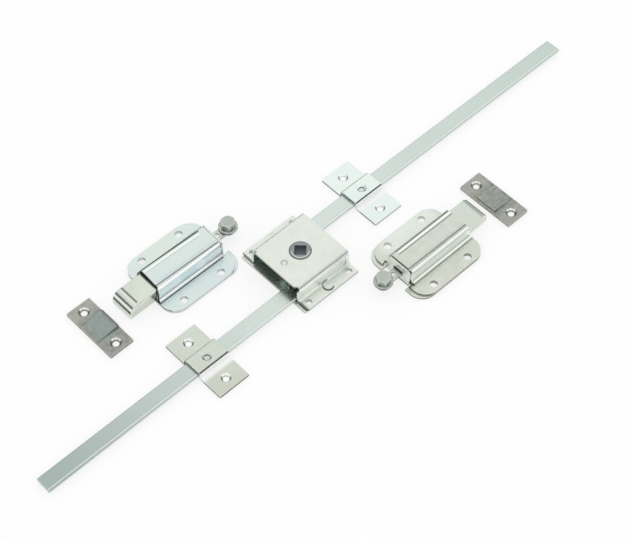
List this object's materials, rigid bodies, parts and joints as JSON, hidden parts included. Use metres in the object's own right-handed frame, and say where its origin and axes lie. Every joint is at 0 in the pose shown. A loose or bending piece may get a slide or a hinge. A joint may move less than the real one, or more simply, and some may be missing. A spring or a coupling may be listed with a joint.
{
  "type": "slam lock",
  "caption": "Slam lock kit: square-drive rack and pinion case with flat bars and bar guides, sprung slam latches and ramped striker plates.",
  "frame": {"origin": "hub axis on the mounting face under the lock case", "axes": "+X runs along the bars towards the upper bar's end, +Z points away from the mounting face"},
  "size_m": [0.497, 0.158, 0.0166],
  "materials": {
    "case_plate": "thin zinc plating, light grey with a faint green tint",
    "latch_plate": "thin zinc plating, light grey with a faint blue-green tint",
    "guide_plate": "thin zinc plating, light grey with a faint yellow tint",
    "bar_plate": "thin zinc plating on cold-rolled flat bar, satin",
    "bolt_steel": "plain satin steel",
    "strap_steel": "plain satin steel",
    "striker_steel": "bare steel with a dull grain",
    "rivet_steel": "plated steel, pressed",
    "pin_steel": "plain ground steel",
    "spring_steel": "drawn spring wire",
    "screw_plate": "zinc plated fastener, satin",
    "hub_steel": "sintered steel, mid grey and satin",
    "ring_brass": "turned brass, smooth"
  },
  "bodies": {
    "fixed_parts": {"lock_base_plate": "case_plate", "lock_cover": "case_plate", "lock_rivets": "rivet_steel", "lock_stop_rivet": "rivet_steel", "hub_bearing_ring": "ring_brass", "lower_guide": "guide_plate", "upper_guide": "guide_plate", "latch1_back_plate": "latch_plate", "latch1_cover_plate": "latch_plate", "latch1_stop_pin": "pin_steel", "latch1_spring": "spring_steel", "latch2_back_plate": "latch_plate", "latch2_cover_plate": "latch_plate", "latch2_stop_pin": "pin_steel", "latch2_spring": "spring_steel", "striker1": "striker_steel", "striker2": "striker_steel"},
    "hub": {"drive_hub": "hub_steel"},
    "lower_bar": {"lower_bar": "bar_plate"},
    "upper_bar": {"upper_bar": "bar_plate"},
    "latch1_bolt": {"latch1_slam_bolt": "bolt_steel", "latch1_tail_strap": "strap_steel", "latch1_cross_pin": "pin_steel", "latch1_clamp_screw": "screw_plate", "latch1_clamp_nut": "screw_plate"},
    "latch2_bolt": {"latch2_slam_bolt": "bolt_steel", "latch2_tail_strap": "strap_steel", "latch2_cross_pin": "pin_steel", "latch2_clamp_screw": "screw_plate", "latch2_clamp_nut": "screw_plate"}
  },
  "joints": [
    {"name": "hub_turn", "type": "hinge", "parent": "fixed_parts", "child": "hub", "pos_m": [0, 0, 0], "axis": [0, 0, 1], "range_deg": [0, 90]},
    {"name": "lower_bar_slide", "type": "slide", "parent": "fixed_parts", "child": "lower_bar", "axis": [1, 0, 0], "range_m": [0, 0.01571]},
    {"name": "upper_bar_slide", "type": "slide", "parent": "fixed_parts", "child": "upper_bar", "axis": [-1, 0, 0], "range_m": [0, 0.01571]},
    {"name": "latch1_bolt_slide", "type": "slide", "parent": "fixed_parts", "child": "latch1_bolt", "axis": [1, 0, 0], "range_m": [0, 0.0157], "stiffness_N_per_m": 600, "springref_m": -0.008, "deforming": ["latch1_spring"]},
    {"name": "latch2_bolt_slide", "type": "slide", "parent": "fixed_parts", "child": "latch2_bolt", "axis": [-1, 0, 0], "range_m": [0, 0.0157], "stiffness_N_per_m": 600, "springref_m": -0.008, "deforming": ["latch2_spring"]}
  ],
  "couplings": [
    {"joint": "hub_turn", "follows": "lower_bar_slide", "rad_per_m": 100},
    {"joint": "upper_bar_slide", "follows": "lower_bar_slide", "ratio": 1}
  ]
}
